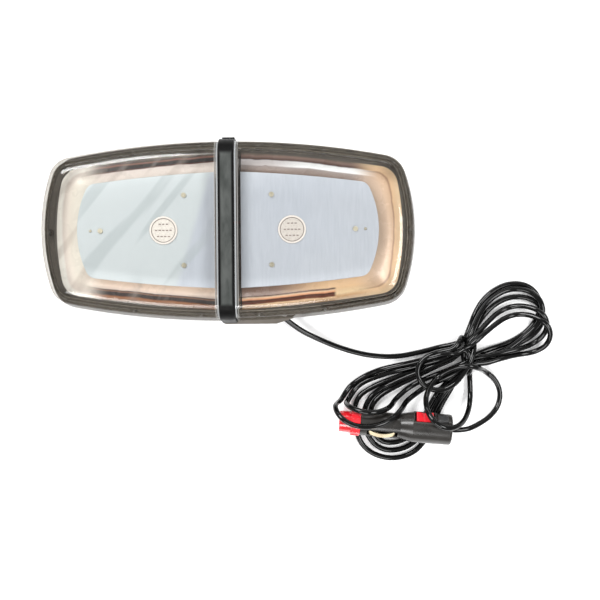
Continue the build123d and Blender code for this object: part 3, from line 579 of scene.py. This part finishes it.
# the hank: the outermost shapes of each lobe, in plan; the turns lie between them
RIGHT_HIGH = [(194, -92), (198, -82), (203, -70), (210, -58), (221, -49), (233, -44.5), (246, -45.5),
              (255.5, -53), (258.5, -65), (254, -77), (244, -87.5), (230, -95), (214, -100)]
RIGHT_LOW = [(196, -94), (205, -87.5), (217, -79.5), (228, -73), (239, -70), (250, -71.5), (259.5, -77),
             (264.5, -86), (262, -96.5), (252, -102.5), (239, -104), (225, -103.5), (211, -104)]
LOW_OUTER = [(189, -121), (182, -134), (174, -147), (169, -160), (163, -172), (155, -183), (144, -189),
             (131, -190.5), (118, -187), (108.5, -179.5), (104, -169.5), (102.3, -157.5), (102, -146.5),
             (106, -137.5), (115, -131.5), (127, -126), (141, -121), (155, -116.5), (169, -110.5),
             (181, -105)]
LOW_INNER = [(187, -119), (177, -129), (168, -141), (161, -154), (155, -166), (147, -173), (137, -177),
             (126.5, -177), (119.5, -171), (117, -161.5), (115, -152.5), (117.5, -144), (124.5, -137),
             (134, -131.5), (143, -127), (152, -122.5), (161, -118), (170, -113.5), (178, -110), (185, -107)]
SLEEVE_OUT = [(190, -115), (181, -121), (171, -126), (161, -131), (151.5, -137)]
SLEEVE_BACK = [(98, -130), (105, -124.5), (114, -119.5), (125, -115.5), (138, -112.5), (151, -109.5),
               (164, -105.5), (176, -102)]
NOSE_OUT = [(189, -112), (179, -117), (168, -121.5), (157, -126), (147, -131.5), (140, -137)]
NOSE_BACK = [(103.5, -131), (110, -126), (119, -122.5), (130, -119), (142, -116), (154, -113),
             (166, -109), (177, -105.5)]

# where each turn lies between a lobe's two shapes, and its lane through the waist
RIGHT_SHARES = (0.0, 0.4, 0.16, 0.7, 1.0)
LOW_SHARES = (0.0, 1.0, 0.5)
WAIST_SLOTS = (0.0, 4.8, 9.6, 2.4, 7.2)
LANE_SHARES = {0: 0.35, 1: 0.16, -2: 0.4, -1: 0.9}  # how far a lobe's end points move over
AFTER_RIGHT = (200, -105, 0.8)  # the waist after each lobe: a point, and how far it moves over
AFTER_LOW = (187, -99.5, 0.5)


def between(one, two, share):
    """Plan points a share of the way from one shape to another."""
    return [tuple(a + (b - a) * share for a, b in zip(p, q)) for p, q in zip(one, two)]


def in_lane(points, slot):
    """A lobe whose first and last points lie in their own lane of the waist."""
    moved = list(points)
    for i, share in LANE_SHARES.items():
        x, y = points[i]
        moved[i] = (x, y - slot * share)
    return moved


def lane_point(after, slot):
    """A point in the waist, in its own lane."""
    x, y, share = after
    return x, y - slot * share


def on_bend(start, middle, end, t):
    """A place a share t of the way round the bend that a middle point pulls out."""
    return [(1 - t) ** 2 * s + 2 * t * (1 - t) * m + t * t * e for s, m, e in zip(start, middle, end)]


def strand(points):
    """Places along the smooth line through a list of control points, a few for each."""
    places = []
    for a, b, c in zip(points, points[1:], points[2:]):
        start = [(p + q) / 2 for p, q in zip(a, b)]
        end = [(p + q) / 2 for p, q in zip(b, c)]
        for step in range(BEND_STEPS):
            places.append(on_bend(start, b, end, (step + 0.5) / BEND_STEPS))
    return places


def resting_height(plans, i, below):
    """How high the cord has to lie near one plan point to clear the floor and the strands below."""
    x, y = plans[i]
    need = WAIST_Z if WAIST_X[0] <= x <= WAIST_X[1] and y > WAIST_LOW else FLOOR_Z
    inside = 0 < i < len(plans) - 1
    near = strand(plans[i - 1:i + 2]) if inside else [plans[i]]
    for nx, ny in near:
        for bx, by, bz in below:
            gap = (nx - bx) ** 2 + (ny - by) ** 2
            if gap < CORD_WIDTH ** 2:
                need = max(need, bz + math.sqrt(CORD_WIDTH ** 2 - gap))
    return need


def lay(block, below):
    """Gives plan points their heights over the strands below, in long low humps."""
    plans = [point[:2] for point in block]
    heights = [point[2] if len(point) == 3 else resting_height(plans, i, below)
               for i, point in enumerate(block)]
    forwards = [(i, i - 1) for i in range(1, len(block))]
    backwards = [(i, i + 1) for i in range(len(block) - 2, -1, -1)]
    for i, j in (forwards + backwards) * EASINGS:
        if len(block[i]) == 2:
            heights[i] = max(heights[i], heights[j] - STEEPEST * math.dist(plans[i], plans[j]))
    return [(*plan, height) for plan, height in zip(plans, heights)]


def cord_route(plug_end):
    """Control points of the whole cord, from the gland to the plug, in millimetres."""
    route = list(POWER_CORD)
    for turn, share in enumerate(RIGHT_SHARES):
        slot = WAIST_SLOTS[turn]
        block = in_lane(between(RIGHT_HIGH, RIGHT_LOW, share), slot)
        block.append(lane_point(AFTER_RIGHT, slot))
        if turn < len(LOW_SHARES):
            block += between(LOW_OUTER, LOW_INNER, LOW_SHARES[turn])
        elif turn == len(LOW_SHARES):
            block += NOSE_OUT + OVER_NOSE[::-1] + NOSE_BACK
        else:
            block += SLEEVE_OUT + OVER_SLEEVE[::-1] + SLEEVE_BACK
        block.append(lane_point(AFTER_LOW, slot))
        route += lay(block, strand(route))
    route += TIE_START + CORD_TIE + TIE_END + CORD_LOOP
    route += lay(LOOP_END, strand(route))
    return route + CORD_TAIL + [plug_end]


# ------------------------------------------------------------------ the lead

def lead(cord_look):
    """The whole lead as one smooth curve from the gland, round the hank, to the plug."""
    curve = bpy.data.curves.new("lead", "CURVE")
    curve.dimensions = "3D"
    curve.bevel_depth = CORD_WIDTH * MM / 2
    curve.bevel_resolution = 5
    curve.resolution_u = 8
    line = curve.splines.new("NURBS")
    points = cord_route(tuple(value / MM for value in PLUG_TIP + PLUG_WAY * PLUG_LENGTH))
    line.points.add(len(points) - 1)
    for target, point in zip(line.points, points):
        target.co = (*(value * MM for value in point), 1.0)
    line.order_u = 3
    line.use_endpoint_u = True
    curve.materials.append(cord_look)
    piece = bpy.data.objects.new("lead", curve)
    bpy.context.collection.objects.link(piece)
    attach(piece, "root")
    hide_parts("power_cord", "cord_tie", "cord_loop", "cord_tail", "cord_over_sleeve",
                "cord_over_nose", "hank_left", "hank_low", "hank_right", "hank_waist")


# ------------------------------------------------------------------ small printed marks

def add_box(verts, faces, low, high):
    """Adds a small box to a mesh's lists, from its lowest to its highest corner."""
    first = len(verts)
    corners = (low[:2], (high[0], low[1]), high[:2], (low[0], high[1]))
    verts += [(x, y, z) for z in (low[2], high[2]) for x, y in corners]
    sides = [(0, 3, 2, 1), (4, 5, 6, 7), (0, 1, 5, 4), (1, 2, 6, 5), (2, 3, 7, 6), (3, 0, 4, 7)]
    faces += [tuple(first + corner for corner in side) for side in sides]


def disc_marks(look):
    """Rows of plain dashes in each disc's recess, in place of print."""
    for sign, name in ((-1, "disc_marks_left"), (1, "disc_marks_right")):
        verts, faces = [], []
        for row, dashes in enumerate(DASH_ROWS):
            y = (1 - row) * ROW_PITCH
            for dash in range(dashes):
                x = sign * DISC_X + (dash - (dashes - 1) / 2) * DASH_PITCH
                add_box(verts, faces, (x - DASH_LONG / 2, y - DASH_HIGH / 2, DISC_FACE),
                        (x + DASH_LONG / 2, y + DASH_HIGH / 2, DISC_FACE + DASH_THICK))
        mesh = bpy.data.meshes.new(name)
        mesh.from_pydata(verts, [], faces)
        mesh.materials.append(look)
        piece = bpy.data.objects.new(name, mesh)
        bpy.context.collection.objects.link(piece)
        soften = piece.modifiers.new("soft edges", "BEVEL")
        soften.width = DASH_SOFTNESS
        soften.segments = 1
        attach(piece, "root")


# ------------------------------------------------------------------ putting it together

def dress(look, *names):
    """Gives CAD nodes a material."""
    for name in names:
        slots = nodes[name].data.materials
        if not slots:
            slots.append(look)
        for index in range(len(slots)):
            slots[index] = look


studio_camera()
studio_lights()
studio_floor()

cord_look = cord_material()
lead(cord_look)
dress(cord_look, "inner_lead")

strap_black = strap_material()
soft_black = moulded("black rubber", (0.012, 0.012, 0.012), (0.024, 0.024, 0.024), roughness=0.7, grain=900)
seal_taupe = moulded("taupe seal", (0.08, 0.07, 0.056), (0.11, 0.094, 0.076), roughness=0.4, grain=700,
                     rub=0.0)
plug_black = moulded("plug black", (0.01, 0.009, 0.008), (0.028, 0.025, 0.022), roughness=0.3, coat=0.1,
                     specular=0.4)
button_black = moulded("button black", (0.015, 0.015, 0.016), (0.03, 0.03, 0.03), roughness=0.4, coat=0.2)
plug_red = moulded("glossy red", (0.5, 0.006, 0.012), (0.68, 0.012, 0.022), roughness=0.2, grain=500,
                   coat=0.6)
chip_black = moulded("epoxy package", (0.02, 0.02, 0.021), (0.035, 0.035, 0.036), roughness=0.55)
can_grey = moulded("sleeved can", (0.03, 0.04, 0.09), (0.06, 0.08, 0.16), roughness=0.3, coat=0.4)
terminal_green = moulded("terminal green", (0.02, 0.13, 0.06), (0.04, 0.2, 0.1), roughness=0.4)
wire_red = moulded("red wire", (0.4, 0.01, 0.01), (0.55, 0.02, 0.02), roughness=0.35, coat=0.3)
zinc = metal("zinc steel", (0.5, 0.51, 0.52), (0.66, 0.67, 0.68), 0.25)
nickel = metal("nickel magnet", (0.45, 0.45, 0.46), (0.62, 0.62, 0.63), 0.3, scale=400)
brass = metal("turned brass", (0.5, 0.42, 0.27), (0.68, 0.58, 0.4), 0.24)
cream_brass = metal("washed brass", (0.62, 0.56, 0.42), (0.8, 0.74, 0.58), 0.28)
green_board = board_material()

dress(case_material(), "base_tray")
dress(strap_black, "centre_bridge")
dress(soft_black, "magnet_boots", "vent_plug", "cord_gland", "cord_bush")
dress(seal_taupe, "base_gasket")
dress(lens_material(), "lens_left", "lens_right")
dress(reflector_material(), "reflector_left", "reflector_right")
dress(plate_material(), "led_plate_left", "led_plate_right")
dress(badge_material(), "label_disc_left", "label_disc_right")
disc_marks(moulded("printed marks", (0.12, 0.09, 0.08), (0.22, 0.17, 0.15), roughness=0.5))
dress(led_material(), "leds_left", "leds_right")
dress(cream_brass, "plate_screws")
dress(zinc, "bridge_screws", "lens_screws", "magnet_studs", "magnet_nuts", "plug_screw", "rocker_pin",
      "tip_spring", "button_spring")
dress(nickel, "magnets")
dress(green_board, "driver_board", "contact_board", "switch_board")
dress(coil_material(), "driver_coils")
dress(can_grey, "driver_capacitors")
dress(chip_black, "driver_chips")
dress(terminal_green, "terminal_block")
dress(wire_red, "board_leads")
dress(plug_black, "plug_shell_upper", "plug_shell_lower", "rocker_bezel")
dress(button_black, "mode_button")
dress(plug_red, "adapter_sleeve", "rocker_switch")
dress(brass, "tip_contact", "side_contact_upper", "side_contact_lower", "fuse_clip")
dress(fuse_material(), "plug_fuse")

bpy.context.scene.view_settings.view_transform = "Standard"
